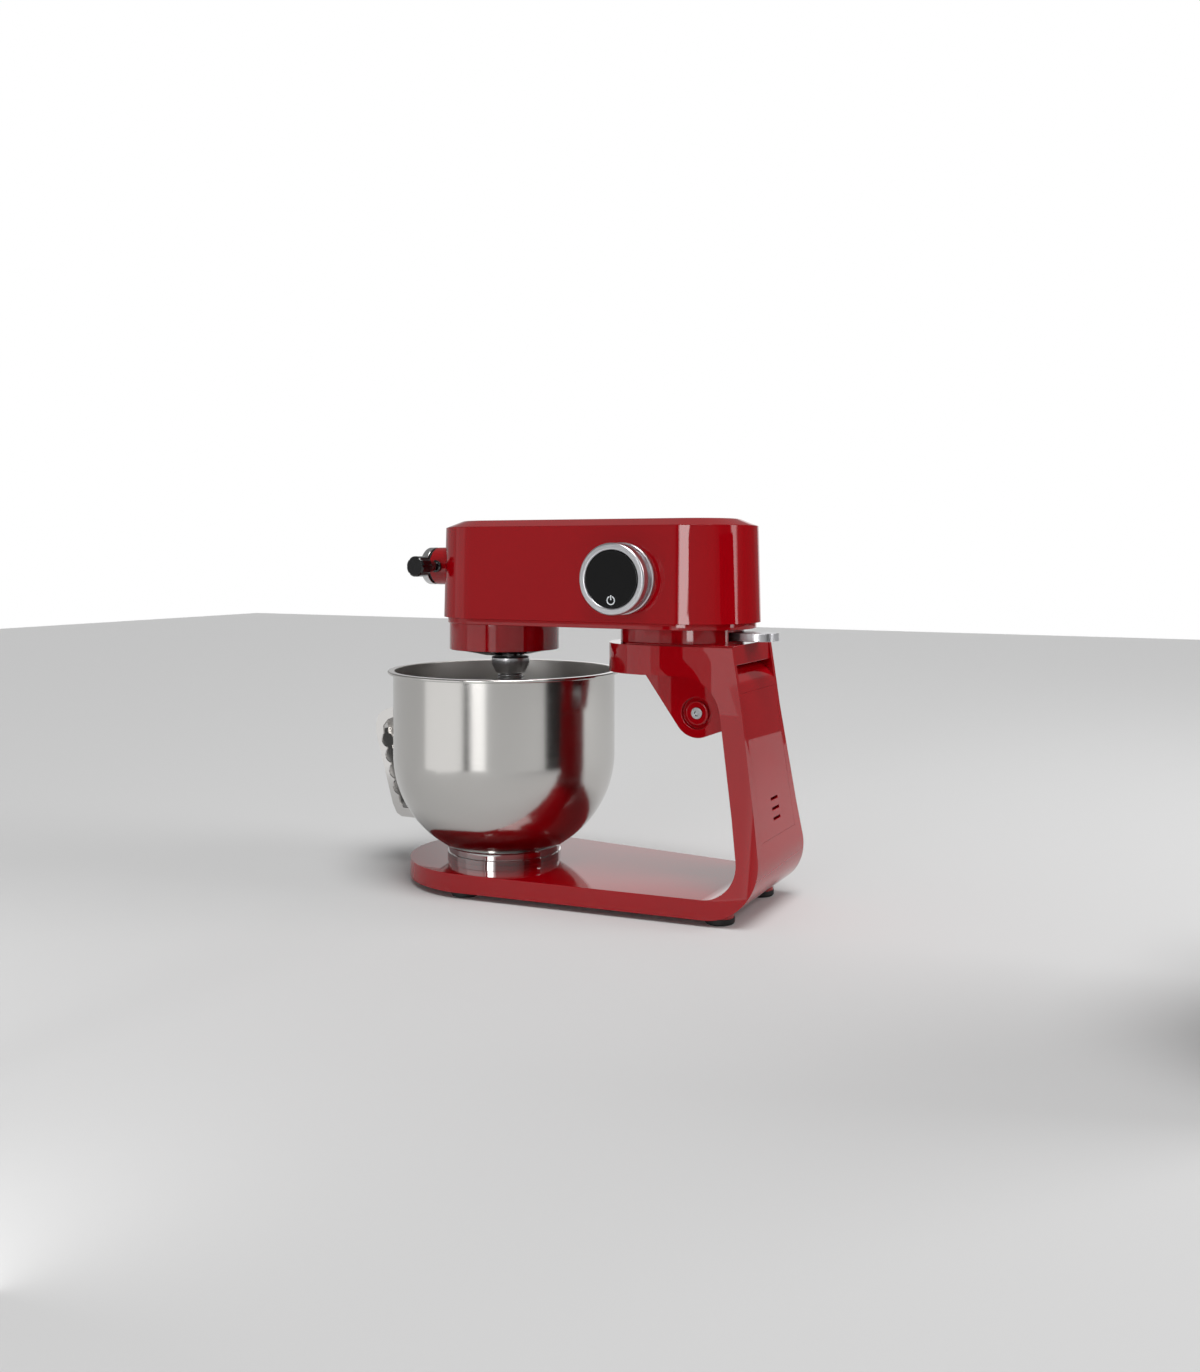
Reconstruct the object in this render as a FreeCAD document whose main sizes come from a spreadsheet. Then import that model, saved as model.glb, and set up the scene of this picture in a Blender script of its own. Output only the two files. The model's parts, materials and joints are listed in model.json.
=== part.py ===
import FreeCAD, Part
import math
import os
import Sketcher
from FreeCAD import Placement, Rotation, Vector

# Stand mixer with a tilting head. Millimetres, +Z up, +X to the rear, the dial faces -Y.
# Lengths are written from the bowl's axis (x = 0) and the counter (z = 0). Each sub-part's
# Placement then moves it along X, so that the document's origin is the middle of the footprint.

os.makedirs("parts", exist_ok=True)
doc = FreeCAD.newDocument("StandMixer")
sheet = doc.addObject("Spreadsheet::Sheet", "Sizes")

DIMENSIONS = [
    # the stand: bend_x sets its length and platform_top its height
    ("foot_high", 5.5), ("foot_radius", 13.0), ("plate_thick", 17.0), ("plate_nose", 91.0),
    ("plate_wall", 12.0), ("side_taper", 0.0905), ("bend_x", 237.5), ("bend_outer", 46.0),
    ("bend_inner", 28.5), ("column_lean", 8.69), ("column_thick", 19.3), ("column_wall", 7.1),
    ("waist_low", 7.6), ("waist_mid", 3.3), ("platform_top", 234.4), ("platform_thick", 26.0),
    ("platform_ahead", 49.0), ("platform_wall", 7.0), ("corner_radius", 35.0),
    ("front_foot_x", 3.0), ("front_foot_inset", 17.0), ("rear_foot_back", 7.5),
    ("rear_foot_inset", 41.0), ("cover_low", 18.0), ("cover_inset", 9.0),
    # the tilting joint
    ("pivot_inset", 43.929), ("pivot_drop", 57.9), ("arm_half", 44.0), ("slot_gap", 0.5),
    ("leg_end", 21.5), ("heel_radius", 30.0), ("heel_gap", 0.8), ("core_radius", 47.4), ("arm_gap", 0.8),
    ("tongue_half", 16.0), ("tongue_end", 19.0), ("hinge_radius", 6.0), ("bush_wall", 2.0),
    ("tail_drop", 15.4), ("neck_high", 13.8), ("neck_half", 41.0), ("neck_ahead", 16.0),
    ("head_seam_gap", 0.3),
    # the head
    ("head_radius", 58.5), ("head_ahead", 18.8), ("head_high", 85.8), ("head_draft", 1.335),
    ("shell_wall", 5.1), ("lid_high", 6.7), ("lid_slope", 17.0), ("tray_thick", 5.5),
    ("tray_inset", 1.5), ("tray_end", 2.7), ("nose_radius", 53.2), ("nose_drop", 31.4), ("nose_wall", 2.7),
    ("fit_gap", 0.04), ("free_gap", 0.3),
    # the planetary drive
    ("planet_angle", -45.0), ("gear_module", 1.5), ("ring_teeth", 48), ("planet_teeth", 16),
    ("gear_wide", 8.0), ("gear_up", 10.4), ("carrier_gap", 3.5), ("carrier_proud", 5.6),
    ("main_shaft_radius", 5.0), ("beater_shaft_radius", 4.0), ("bearing_radius", 13.0),
    ("pulley_radius", 35.0), ("motor_pulley_radius", 7.0), ("pulley_up", 10.0),
    ("pulley_wide", 12.0), ("belt_thick", 1.6), ("collar_radius", 18.0), ("collar_high", 15.6),
    ("hook_wire", 4.5), ("hook_reach", 29.0), ("hook_clear", 17.0),
    # the motor
    ("motor_x", 165.0), ("motor_radius", 38.0), ("motor_up", 27.0), ("motor_high", 52.0),
    ("motor_wall", 2.0), ("motor_shaft_radius", 4.0),
    # the control knob
    ("knob_x", 156.0), ("knob_up", 39.0), ("knob_radius", 31.5), ("knob_proud", 21.5),
    ("knob_rim", 6.5), ("bezel_proud", 3.5), ("post_radius", 20.0), ("board_gap", 3.0),
    # the accessory outlet
    ("outlet_up", 48.5), ("outlet_radius", 18.5), ("outlet_wall", 4.5), ("outlet_proud", 17.5),
    ("gasket_thick", 3.0), ("cap_thick", 9.0), ("screw_back", 9.0), ("screw_head_radius", 10.0),
    # the release lever
    ("lever_back", 13.0), ("lever_up", 3.6), ("lever_thick", 7.2), ("lever_reach", 46.0),
    ("lever_half", 17.0),
    # the bowl
    ("bowl_radius", 107.5), ("bowl_wall", 1.2), ("bowl_high", 169.4), ("rim_lip", 5.2),
    ("rim_thick", 3.0), ("belly_high", 89.0), ("belly_radius", 100.0), ("belly_angle", 55.0),
    ("foot_ring_radius", 55.0), ("foot_ring_wall", 5.0), ("foot_ring_high", 10.5),
    ("handle_out", 37.5), ("handle_drop", 38.4), ("handle_up", 17.0), ("handle_deep", 9.0),
    ("handle_strap", 3.0), ("handle_half", 13.0), ("twist_angle", 25.0),
]

class Size:
    """A length that carries its number and the spreadsheet expression that gives it."""

    def __init__(self, value, text):
        self.value, self.text = float(value), text

    def __float__(self):
        return self.value

    def __add__(self, other):
        return Size(self.value + float(other), "(%s + %s)" % (self.text, text_of(other)))

    def __sub__(self, other):
        return Size(self.value - float(other), "(%s - %s)" % (self.text, text_of(other)))

    def __mul__(self, other):
        return Size(self.value * float(other), "%s * %s" % (self.text, text_of(other)))

    def __truediv__(self, other):
        return Size(self.value / float(other), "%s / %s" % (self.text, text_of(other)))

    def __radd__(self, other):
        return self + other

    def __rmul__(self, other):
        return self * other

    def __rsub__(self, other):
        return Size(float(other) - self.value, "(%s - %s)" % (text_of(other), self.text))

    def __neg__(self):
        return Size(-self.value, "(0 - %s)" % self.text)


def text_of(size):
    return size.text if isinstance(size, Size) else "%.6f" % float(size)


def as_size(number):
    return number if isinstance(number, Size) else Size(number, "%.6f" % float(number))


def sine(size):
    return Size(math.sin(math.radians(float(size))), "sin(%s)" % text_of(size))


def cosine(size):
    return Size(math.cos(math.radians(float(size))), "cos(%s)" % text_of(size))


def root(size):
    return Size(math.sqrt(float(size)), "sqrt(%s)" % text_of(size))


class Values:
    """The spreadsheet's sizes by name."""


V = Values()
for row, (alias, number) in enumerate(DIMENSIONS, start=1):
    sheet.set("A%d" % row, alias.replace("_", " "))
    sheet.set("B%d" % row, str(number))
    sheet.setAlias("B%d" % row, alias)
    setattr(V, alias, Size(number, "Sizes." + alias))
doc.recompute()

# The bent frame's column, which leans forward.
lean_sin, lean_cos = sine(V.column_lean), cosine(V.column_lean)
plate_top, bend_z = V.foot_high + V.plate_thick, V.foot_high + V.bend_outer
inner_reach = V.bend_outer - V.column_thick


def column_inner(z):
    """X of the column's inner face at a height."""
    return V.bend_x + (inner_reach - lean_sin * (z - bend_z)) / lean_cos


def column_outer(z):
    """X of the column's back face at a height."""
    return V.bend_x + (V.bend_outer - lean_sin * (z - bend_z)) / lean_cos


# Heights that build up from the counter, and places that follow from the sizes above.
pivot_z = V.platform_top - V.pivot_drop
pivot_x = column_outer(pivot_z) - V.pivot_inset
platform_x, platform_low = pivot_x - V.platform_ahead, V.platform_top - V.platform_thick
slot_half = V.arm_half + V.slot_gap
platform_half = slot_half + V.platform_wall
slot_front = platform_x - root(platform_half * platform_half - (slot_half + 2) * (slot_half + 2))
neck_low = V.platform_top + V.head_seam_gap
neck_rear_x, head_rear_x = pivot_x - V.neck_ahead, pivot_x - V.head_ahead
lever_x, lever_low = pivot_x + V.lever_back, V.platform_top + V.lever_up
tray_low = neck_low + V.neck_high
head_low = tray_low + V.tray_thick
lid_low = head_low + V.head_high
shell_inner = V.head_radius - V.shell_wall
nose_low, nose_inner = head_low - V.nose_drop, V.nose_radius - V.nose_wall
gear_low = nose_low + V.gear_up
gear_top = gear_low + V.gear_wide
carrier_low, carrier_radius = nose_low - V.carrier_proud, nose_inner - V.carrier_gap
collar_top = carrier_low - V.free_gap
collar_low = collar_top - V.collar_high
pulley_low, motor_low = head_low + V.pulley_up, head_low + V.motor_up
knob_z, outlet_z = head_low + V.knob_up, head_low + V.outlet_up
knob_face, bezel_front = V.head_radius + V.knob_proud, V.head_radius + V.bezel_proud
glass_radius, bezel_radius = V.knob_radius - V.knob_rim, V.knob_radius + 0.5
board_y = shell_inner - V.board_gap
outlet_front, outlet_bore = V.head_radius + V.outlet_proud, V.outlet_radius - V.outlet_wall
screw_x = V.screw_back - outlet_front
bowl_floor_z = plate_top + V.foot_ring_high
bowl_rim_z, belly_z = bowl_floor_z + V.bowl_high, bowl_floor_z + V.belly_high
rim_radius, handle_reach = V.bowl_radius + V.rim_lip, V.bowl_radius + V.handle_out
handle_top, handle_low = bowl_rim_z - V.handle_drop, bowl_floor_z + V.handle_up
hook_low = bowl_floor_z + V.hook_clear
lug_radius = V.foot_ring_radius - 5
ring_pitch = V.gear_module * V.ring_teeth / 2
planet_pitch = V.gear_module * V.planet_teeth / 2
planet_offset = ring_pitch - planet_pitch
beater_x = planet_offset * cosine(V.planet_angle)
beater_y = planet_offset * sine(V.planet_angle)
rear_foot_x, rear_foot_y = V.bend_x + V.rear_foot_back, V.plate_nose - V.rear_foot_inset
front_foot_y = V.plate_nose - V.front_foot_inset
inner_bend_x = V.bend_x + (inner_reach - V.bend_inner
                           + lean_sin * (bend_z - plate_top - V.bend_inner)) / lean_cos
waist_top = slot_half + V.column_wall + V.side_taper * V.bend_x
shift_x = (handle_reach - V.bend_x - V.bend_outer) / 2

nodes = []
AXES = {"Z": Rotation(), "-Z": Rotation(Vector(1, 0, 0), 180), "X": Rotation(Vector(0, 1, 0), 90),
        "-X": Rotation(Vector(0, 1, 0), -90), "Y": Rotation(Vector(1, 0, 0), -90),
        "-Y": Rotation(Vector(1, 0, 0), 90)}
places = {}


def bind(obj, prop, size):
    obj.setExpression(prop, text_of(size))


def place(obj, at=(0, 0, 0), axis="Z", turn=0):
    """Put an object at a point, its own +Z along an axis, turned about that axis."""
    obj.Placement = Placement(Vector(*[float(c) for c in at]),
                              AXES[axis].multiply(Rotation(Vector(0, 0, 1), float(turn))))
    for letter, size in zip("xyz", at):
        bind(obj, "Placement.Base." + letter, size)
    places[obj.Name] = as_size(at[0])
    return obj


def node(obj, label):
    """Name a sub-part and move it from the bowl's axis to the document's origin."""
    obj.Label = label
    bind(obj, "Placement.Base.x", places.get(obj.Name, as_size(0)) + shift_x)
    nodes.append(obj)
    return obj


def cylinder(radius, high, at=(0, 0, 0), axis="Z"):
    obj = doc.addObject("Part::Cylinder", "Cylinder")
    bind(obj, "Radius", radius)
    bind(obj, "Height", high)
    return place(obj, at, axis)


def cone(radius, radius2, high, at=(0, 0, 0), axis="Z"):
    obj = doc.addObject("Part::Cone", "Cone")
    bind(obj, "Radius1", radius)
    bind(obj, "Radius2", radius2)
    bind(obj, "Height", high)
    return place(obj, at, axis)


def box(x0, x1, y0, y1, z0, z1):
    obj = doc.addObject("Part::Box", "Box")
    bind(obj, "Length", as_size(x1) - x0)
    bind(obj, "Width", as_size(y1) - y0)
    bind(obj, "Height", as_size(z1) - z0)
    return place(obj, (x0, y0, z0))


def fuse(*shapes):
    obj = doc.addObject("Part::MultiFuse", "Fusion")
    obj.Shapes = list(shapes)
    return obj


def cut(base, *tools):
    obj = doc.addObject("Part::Cut", "Cut")
    obj.Base = base
    obj.Tool = tools[0] if len(tools) == 1 else fuse(*tools)
    return obj


def common(*shapes):
    obj = doc.addObject("Part::MultiCommon", "Common")
    obj.Shapes = list(shapes)
    return obj


def made(shape, at=(0, 0, 0), axis="Z", turn=0):
    """A shape made by code from the sheet's sizes, as a document object."""
    obj = doc.addObject("Part::Feature", "Shape")
    obj.Shape = shape
    return place(obj, at, axis, turn)


def body(name):
    return doc.addObject("PartDesign::Body", name)


def sketch(owner, plane, name, shift=(0, 0, 0)):
    """A sketch on one of the body's own origin planes, moved within and off that plane."""
    sk = owner.newObject("Sketcher::SketchObject", name)
    support = [f for f in owner.Origin.OriginFeatures if f.Role == plane][0]
    sk.AttachmentSupport = [(support, "")]
    sk.MapMode = "FlatFace"
    for letter, size in zip("xyz", shift):
        bind(sk, "AttachmentOffset.Base." + letter, size)
    return sk


def fix(sk, geo, point, x, y):
    """Dimension one sketch point from the sketch's origin."""
    for kind, size, line in (("DistanceX", x, -2), ("DistanceY", y, -1)):
        if abs(float(size)) < 1e-9:
            sk.addConstraint(Sketcher.Constraint("PointOnObject", geo, point, line))
        else:
            number = sk.addConstraint(
                Sketcher.Constraint(kind, -1, 1, geo, point, float(size)))
            sk.setExpression("Constraints[%d]" % number, text_of(size))


def circle(sk, x, y, radius):
    geo = sk.addGeometry(Part.Circle(Vector(float(x), float(y), 0), Vector(0, 0, 1),
                                     float(radius)), False)
    fix(sk, geo, 3, x, y)
    number = sk.addConstraint(Sketcher.Constraint("Radius", geo, float(radius)))
    sk.setExpression("Constraints[%d]" % number, text_of(radius))


def outline(sk, points):
    """A closed outline. A point is (x, y), or (x, y, radius, centre, turn) where the edge that
    leaves it is an arc about that centre, turn +1 counter-clockwise and -1 clockwise."""
    count, ends = len(points), []
    for i, here in enumerate(points):
        after = points[(i + 1) % count]
        a = Vector(float(here[0]), float(here[1]), 0)
        b = Vector(float(after[0]), float(after[1]), 0)
        if len(here) == 2:
            ends.append((sk.addGeometry(Part.LineSegment(a, b), False), 1, 2))
            continue
        middle = Vector(float(here[3][0]), float(here[3][1]), 0)
        first, last = (a, b) if here[4] > 0 else (b, a)
        ring = Part.Circle(middle, Vector(0, 0, 1), float(here[2]))
        start = math.atan2(first.y - middle.y, first.x - middle.x)
        stop = math.atan2(last.y - middle.y, last.x - middle.x)
        if stop < start:
            stop += 2 * math.pi
        geo = sk.addGeometry(Part.ArcOfCircle(ring, start, stop), False)
        ends.append((geo, 1, 2) if here[4] > 0 else (geo, 2, 1))
    for i, here in enumerate(points):
        geo, first, last = ends[i]
        after_geo, after_first, _ = ends[(i + 1) % count]
        sk.addConstraint(Sketcher.Constraint("Coincident", geo, last, after_geo, after_first))
        fix(sk, geo, first, here[0], here[1])
        if len(here) > 2:
            number = sk.addConstraint(Sketcher.Constraint("Radius", geo, float(here[2])))
            sk.setExpression("Constraints[%d]" % number, text_of(here[2]))


def stadium(sk, x0, x1, radius):
    """Two half circles on the sketch's X axis, joined by tangent lines."""
    r, a, b = float(radius), float(x0), float(x1)
    up = Vector(0, 0, 1)
    arc0 = sk.addGeometry(Part.ArcOfCircle(Part.Circle(Vector(a, 0, 0), up, r),
                                           math.pi / 2, 3 * math.pi / 2), False)
    arc1 = sk.addGeometry(Part.ArcOfCircle(Part.Circle(Vector(b, 0, 0), up, r),
                                           -math.pi / 2, math.pi / 2), False)
    low = sk.addGeometry(Part.LineSegment(Vector(a, -r, 0), Vector(b, -r, 0)), False)
    high = sk.addGeometry(Part.LineSegment(Vector(b, r, 0), Vector(a, r, 0)), False)
    for one, end, two, start in ((arc0, 2, low, 1), (low, 2, arc1, 1),
                                 (arc1, 2, high, 1), (high, 2, arc0, 1)):
        sk.addConstraint(Sketcher.Constraint("Tangent", one, end, two, start))
    for geo, x in ((arc0, x0), (arc1, x1)):
        fix(sk, geo, 3, x, 0)
    sk.addConstraint(Sketcher.Constraint("Equal", arc0, arc1))
    number = sk.addConstraint(Sketcher.Constraint("Radius", arc0, r))
    sk.setExpression("Constraints[%d]" % number, text_of(radius))


def pad(owner, sk, length, both=False, back=False, taper=None):
    feature = owner.newObject("PartDesign::Pad", "Pad")
    feature.Profile = sk
    bind(feature, "Length", length)
    feature.Midplane = both
    feature.Reversed = back
    if taper is not None:
        bind(feature, "TaperAngle", taper)
    sk.Visibility = False
    return feature


def pocket(owner, sk, length, both=False, back=False):
    feature = owner.newObject("PartDesign::Pocket", "Pocket")
    feature.Profile = sk
    bind(feature, "Length", length)
    feature.Midplane = both
    feature.Reversed = back
    return feature


def turned(name, points, at=(0, 0, 0), axis="Z"):
    """A body of revolution. Points are (radius, height) along its own axis."""
    owner = body(name)
    sk = sketch(owner, "XZ_Plane", name + "Profile")
    outline(sk, points)
    feature = owner.newObject("PartDesign::Revolution", "Revolution")
    feature.Profile = sk
    feature.ReferenceAxis = (sk, ["V_Axis"])
    feature.Angle = 360
    return place(owner, at, axis)


def tube(outer, inner, low, high):
    """The profile of a plain ring."""
    return [(inner, low), (outer, low), (outer, high), (inner, high)]


def rod(radius, low, high):
    """The profile of a plain rod."""
    return [(0, low), (radius, low), (radius, high), (0, high)]


def copies(shape, spots):
    """The same shape at several spots, as one group of separate solids."""
    return Part.makeCompound([shape.translated(Vector(*spot)) for spot in spots])


def gear_outline(teeth, module, tip, foot, extra, steps=5):
    """Face of a spur gear with involute flanks. Extra is added to the tooth's thickness."""
    pitch = module * teeth / 2
    ground = pitch * math.cos(math.radians(20))
    half = math.pi / (2 * teeth) + extra / (2 * pitch)
    at_pitch = math.tan(math.acos(ground / pitch)) - math.acos(ground / pitch)
    flank = []
    low = max(foot, ground + 0.01)
    for i in range(steps):
        radius = low + (tip - low) * i / (steps - 1)
        roll = math.acos(ground / radius)
        flank.append((radius, half + at_pitch - (math.tan(roll) - roll)))
    if foot < low:
        flank.insert(0, (foot, flank[0][1]))
    corners = []
    for tooth in range(teeth):
        middle = 2 * math.pi * tooth / teeth
        sides = [(r, middle - a) for r, a in flank] + [(r, middle + a) for r, a in flank[::-1]]
        corners += [Vector(r * math.cos(a), r * math.sin(a), 0) for r, a in sides]
    return Part.Face(Part.makePolygon(corners + [corners[0]]))


def rounded_wire(points, radius):
    """Straight runs joined by tangent arcs."""
    edges, start = [], points[0]
    for before, corner, after in zip(points, points[1:], points[2:]):
        one, two = (before - corner).normalize(), (after - corner).normalize()
        half = one.getAngle(two) / 2
        run = radius / math.tan(half)
        a, b = corner + one * run, corner + two * run
        middle = corner + (one + two).normalize() * (radius / math.sin(half) - radius)
        edges += [Part.LineSegment(start, a).toShape(), Part.Arc(a, middle, b).toShape()]
        start = b
    edges.append(Part.LineSegment(start, points[-1]).toShape())
    return Part.Wire(edges)


# ---------------------------------------------------------------- the stand
def floor_outline(gap):
    """The hollow under the plate: its wall follows the nose and the tapering sides."""
    front, middle, end = V.plate_nose * -0.55 + gap, V.front_foot_x + 15, rear_foot_x - 37 - gap
    sides = [(front, V.plate_nose * 0.66 - gap),
             (middle, V.plate_nose - V.side_taper * middle - V.plate_wall - gap),
             (end, V.plate_nose - V.side_taper * end - V.plate_wall - gap)]
    return [(x, -y) for x, y in sides] + [(x, y) for x, y in sides[::-1]]


frame = body("BaseFrame")
side = sketch(frame, "XZ_Plane", "FrameSide")
corner_z = platform_low - V.corner_radius
corner_x = V.bend_x + (inner_reach - V.corner_radius - lean_sin * (corner_z - bend_z)) / lean_cos
inner_z = plate_top + V.bend_inner
outline(side, [
    (-V.plate_nose, V.foot_high),
    (V.bend_x, V.foot_high, V.bend_outer, (V.bend_x, bend_z), 1),
    (V.bend_x + V.bend_outer * lean_cos, bend_z + V.bend_outer * lean_sin),
    (column_outer(V.platform_top), V.platform_top),
    (platform_x - platform_half, V.platform_top),
    (platform_x - platform_half, platform_low),
    (corner_x, platform_low, V.corner_radius, (corner_x, corner_z), -1),
    (corner_x + V.corner_radius * lean_cos, corner_z + V.corner_radius * lean_sin),
    (inner_bend_x + V.bend_inner * lean_cos, inner_z + V.bend_inner * lean_sin,
     V.bend_inner, (inner_bend_x, inner_z), -1),
    (inner_bend_x, plate_top),
    (-V.plate_nose, plate_top),
])
pad(frame, side, V.plate_nose * 2, both=True)
for sign in (1, -1):
    # each side tapers to the rear and narrows up the column
    flank = sketch(frame, "YZ_Plane", "FrameFlank", (0, 0, -V.plate_nose - 4))
    wide = [(V.plate_nose, -2), (V.plate_nose, plate_top), (waist_top + V.waist_low, pivot_z - 86.5),
            (waist_top + V.waist_mid, pivot_z - 37.5), (waist_top, pivot_z + 0.5),
            (waist_top, V.platform_top + 4),
            (V.plate_nose + 40, V.platform_top + 4), (V.plate_nose + 40, -2)]
    lead = V.side_taper * (V.plate_nose + 4)
    outline(flank, [(sign * (y + lead), z) for y, z in wide])
    taper = pocket(frame, flank, V.plate_nose + V.bend_x + 90)
    taper.UseCustomVector = True
    taper.Direction = Vector(1, -sign * float(V.side_taper), 0)
    bind(taper, "Direction.y", V.side_taper * -sign)
plan = sketch(frame, "XY_Plane", "FrameNose")
outline(plan, [(0, V.plate_nose, V.plate_nose, (0, 0), 1), (-V.plate_nose, 0, V.plate_nose, (0, 0), 1),
               (0, -V.plate_nose), (0, -V.plate_nose - 30), (-V.plate_nose - 30, -V.plate_nose - 30),
               (-V.plate_nose - 30, V.plate_nose + 30), (0, V.plate_nose + 30)])
pocket(frame, plan, plate_top + 5, back=True)
past_x, past_y = V.bend_x + V.bend_outer + 40, V.plate_nose + 30
top = sketch(frame, "XY_Plane", "PlatformPlan", (0, 0, platform_low - 14))
front = platform_x - platform_half
outline(top, [(platform_x, platform_half, platform_half, (platform_x, 0), 1),
              (front, 0, platform_half, (platform_x, 0), 1), (platform_x, -platform_half),
              (past_x, -platform_half), (past_x, -past_y), (front - 20, -past_y),
              (front - 20, past_y), (past_x, past_y), (past_x, platform_half)])
pocket(frame, top, 60, back=True)
slot = sketch(frame, "XZ_Plane", "HingeSlot")
core_top = pivot_z + root(V.core_radius * V.core_radius - 17.6 * 17.6)
core_side = pivot_z + 24
recess_radius = V.heel_radius + V.heel_gap
outline(slot, [
    (slot_front, pivot_z - recess_radius * sine(40)),
    (pivot_x + recess_radius * cosine(40), pivot_z - recess_radius * sine(40), recess_radius,
     (pivot_x, pivot_z), 1),
    (pivot_x + recess_radius * sine(38), pivot_z + recess_radius * cosine(38)),
    (pivot_x + 17.6, core_top, V.core_radius, (pivot_x, pivot_z), -1),
    (pivot_x + root(V.core_radius * V.core_radius - 24 * 24), core_side),
    (past_x, core_side), (past_x, V.platform_top + 6), (slot_front, V.platform_top + 6),
])
pocket(frame, slot, slot_half * 2, both=True)
under = sketch(frame, "XY_Plane", "Underside", (0, 0, V.foot_high))
outline(under, floor_outline(0))
pocket(frame, under, V.plate_thick - 8, back=True)
recess = sketch(frame, "XY_Plane", "BowlRecess", (0, 0, plate_top))
circle(recess, 0, 0, V.foot_ring_radius - 0.3)
pocket(frame, recess, 3)
deep = sketch(frame, "XY_Plane", "LugRecess", (0, 0, plate_top - 3))
circle(deep, 0, 0, lug_radius + 2)
pocket(frame, deep, 2.5)
rear = sketch(frame, "XZ_Plane", "RearRecess")
cover_low, cover_high, cover_half = bend_z + V.cover_low, core_side - 5, platform_half - V.cover_inset
outline(rear, [(column_outer(cover_low) - 9, cover_low), (column_outer(cover_low) + 20, cover_low),
               (column_outer(cover_high) + 20, cover_high), (column_outer(cover_high) - 9, cover_high)])
pocket(frame, rear, cover_half * 2, both=True)
bosses = sketch(frame, "XY_Plane", "RearBosses", (0, 0, V.foot_high))
for sign in (1, -1):
    circle(bosses, rear_foot_x, rear_foot_y * sign, V.foot_radius - 0.5)
pad(frame, bosses, 12)
node(frame, "base_frame")

cover = body("BottomCover")
sk = sketch(cover, "XY_Plane", "CoverPlan", (0, 0, V.foot_high))
outline(sk, floor_outline(0.4))
pad(cover, sk, 1.6)
node(cover, "bottom_cover")

back = body("BackCover")
sk = sketch(back, "XZ_Plane", "BackSide")
low, high = cover_low + 0.12, cover_high - 0.12
outline(sk, [(column_outer(low) - 3, low), (column_outer(low), low), (column_outer(high), high),
             (column_outer(high) - 3, high)])
pad(back, sk, cover_half * 2 - 0.24, both=True)
sk = sketch(back, "YZ_Plane", "CoverVents", (0, 0, column_outer(96) - 8))
for i in range(3):
    slit = cover_low + 13 + 8.5 * i
    outline(sk, [(-9, slit), (9, slit), (9, slit + 2.4), (-9, slit + 2.4)])
pocket(back, sk, 20, back=True)
node(back, "back_cover")

for label, x, y in (("foot_front_left", V.front_foot_x, -front_foot_y),
                    ("foot_front_right", V.front_foot_x, front_foot_y),
                    ("foot_rear_left", rear_foot_x, -rear_foot_y),
                    ("foot_rear_right", rear_foot_x, rear_foot_y)):
    foot = turned("Foot", [(0, 0), (V.foot_radius - 1, 0), (V.foot_radius, 1.2),
                           (V.foot_radius, V.foot_high), (0, V.foot_high)], (x, y, 0))
    node(foot, label)

notch = body("ClampPlate")
sk = sketch(notch, "XY_Plane", "ClampPlan", (0, 0, plate_top - 3))
circle(sk, 0, 0, V.foot_ring_radius - 0.5)
circle(sk, 0, 0, lug_radius - 3.5)
pad(notch, sk, 2.7)
for i in range(3):
    turn = V.twist_angle + 120 * i
    sk = sketch(notch, "XY_Plane", "LugNotch", (0, 0, plate_top - 3))
    corners = [(lug_radius - 8, -8), (lug_radius + 1, -8), (lug_radius + 1, 8), (lug_radius - 8, 8)]
    outline(sk, [(a * cosine(turn) - sine(turn) * b, a * sine(turn) + cosine(turn) * b)
                 for a, b in corners])
    pocket(notch, sk, 4, back=True)

screw = Part.makeCylinder(1.7, 2.3, Vector(0, 0, 0)).cut(Part.makeBox(4, 0.6, 1, Vector(-2, -0.3, 1.5)))
screw_ring = float(V.foot_ring_radius) - 2.8
spots = [(screw_ring * math.cos(math.radians(a)), screw_ring * math.sin(math.radians(a)), 0)
         for a in (75, 195, 315)]
clamp_holes = made(copies(Part.makeCylinder(1.8, 10), spots), (0, 0, plate_top - 2.4))
node(cut(notch, clamp_holes), "bowl_clamp_plate")
node(made(copies(screw, spots), (0, 0, plate_top - 2.4)), "clamp_plate_screws")

tongue = body("HingeTongue")
sk = sketch(tongue, "XZ_Plane", "TongueSide")
seat_radius = recess_radius - V.fit_gap
root_x = pivot_x + root(seat_radius * seat_radius - V.tongue_end * V.tongue_end)
outline(sk, [(pivot_x, pivot_z + V.tongue_end, V.tongue_end, (pivot_x, pivot_z), 1),
             (pivot_x - V.tongue_end, pivot_z, V.tongue_end, (pivot_x, pivot_z), 1),
             (pivot_x, pivot_z - V.tongue_end),
             (root_x, pivot_z - V.tongue_end, seat_radius, (pivot_x, pivot_z), 1),
             (root_x, pivot_z + V.tongue_end)])
pad(tongue, sk, V.tongue_half * 2, both=True)
sk = sketch(tongue, "XZ_Plane", "TongueBore")
circle(sk, pivot_x, pivot_z, V.hinge_radius + V.bush_wall)
pocket(tongue, sk, V.tongue_half * 4, both=True)
node(tongue, "hinge_tongue")
bush = V.hinge_radius + V.fit_gap
node(turned("HingeBush", tube(V.hinge_radius + V.bush_wall, bush, -V.tongue_half, V.tongue_half),
            (pivot_x, 0, pivot_z), "Y"), "hinge_bush")
node(turned("CordGland", [(2.5, 0), (6, 0), (6, 2), (4.5, 4), (2.5, 4)],
            (rear_foot_x - 22, 0, V.foot_high), "-Z"), "cord_gland")

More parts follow.
